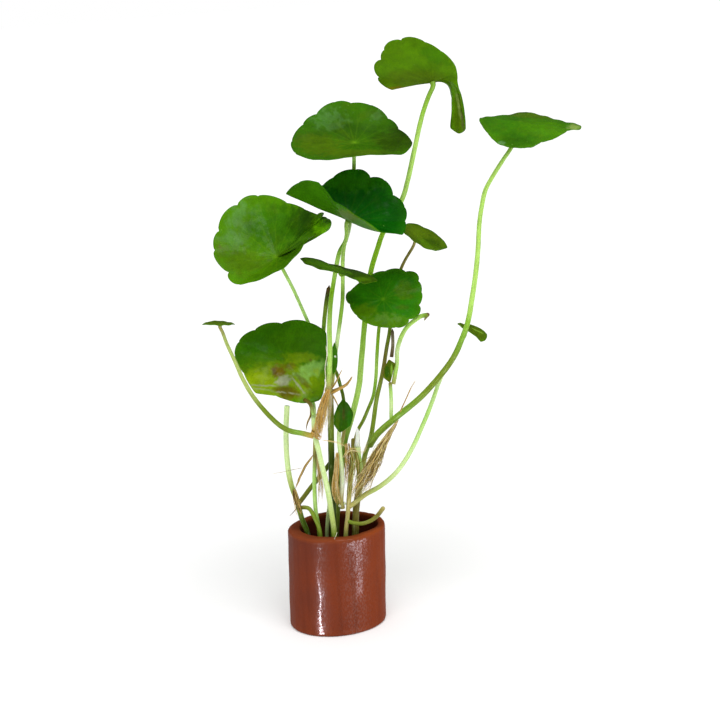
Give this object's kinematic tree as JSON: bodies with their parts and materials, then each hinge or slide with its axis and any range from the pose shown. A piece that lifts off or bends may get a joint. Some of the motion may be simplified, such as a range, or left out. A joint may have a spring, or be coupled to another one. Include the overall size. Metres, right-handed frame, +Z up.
{
  "type": "whorled pennywort in a clay ring",
  "caption": "Bunch of long-stalked, round-leaved water pennywort with brown roots, standing upright in a short open ring of fired clay.",
  "frame": {"origin": "at the height of the clay ring's foot, under the middle of the object's whole width and depth", "axes": "+Z up, -Y towards the side that the plant shows, +X towards the long right-hand leaf stalk"},
  "size_m": [0.1214, 0.0437, 0.1843],
  "materials": {
    "fired_clay": "unglazed, with a faint polish on the extruded wall",
    "leaf_green": "satin",
    "leaf_dark_green": "satin",
    "leaf_decaying": "wet, with brown decay",
    "stalk_green": "smooth, slightly see-through",
    "stalk_olive": "smooth",
    "stalk_pale": "smooth, slightly see-through",
    "stalk_dead": "matt, rotted",
    "root_brown": "matt, fibrous"
  },
  "bodies": {
    "root": {"clay_ring": "fired_clay", "leaf_top": "leaf_green", "leaf_wide": "leaf_green", "leaf_cupped": "leaf_dark_green", "leaf_small_right": "leaf_green", "leaf_left": "leaf_green", "leaf_edgewise": "leaf_green", "leaf_round": "leaf_dark_green", "leaf_decaying": "leaf_decaying", "leaf_far_right": "leaf_green", "leaf_behind_stalk": "leaf_dark_green", "leaf_tiny_left": "leaf_green", "leaf_folded_low": "leaf_dark_green", "leaf_young": "leaf_dark_green", "bract_low": "leaf_green", "stalk_top": "stalk_green", "stalk_wide": "stalk_green", "stem_main": "stalk_olive", "stalk_cupped": "stalk_green", "stalk_small_right": "stalk_olive", "stalk_left": "stalk_green", "stalk_round": "stalk_green", "stalk_edgewise": "stalk_green", "stalk_far_right": "stalk_green", "stalk_behind_stalk": "stalk_pale", "stalk_tiny_left": "stalk_olive", "stalk_decaying": "stalk_pale", "stub_left": "stalk_pale", "stem_short_dark": "stalk_olive", "stem_arched": "stalk_olive", "stem_pale": "stalk_pale", "stalk_folded_low": "stalk_pale", "stem_rooting": "stalk_pale", "shoot_over_rim": "stalk_olive", "stump_cut": "stalk_green", "stalk_young": "stalk_pale", "shoot_curled": "stalk_green", "sheath_dry": "stalk_dead", "stub_dead": "stalk_dead", "roots_main_node": "root_brown", "roots_main_spur": "root_brown", "roots_right_tuft": "root_brown", "root_right_tail": "root_brown", "root_left_long": "root_brown", "root_left_hair": "root_brown"}
  },
  "joints": []
}
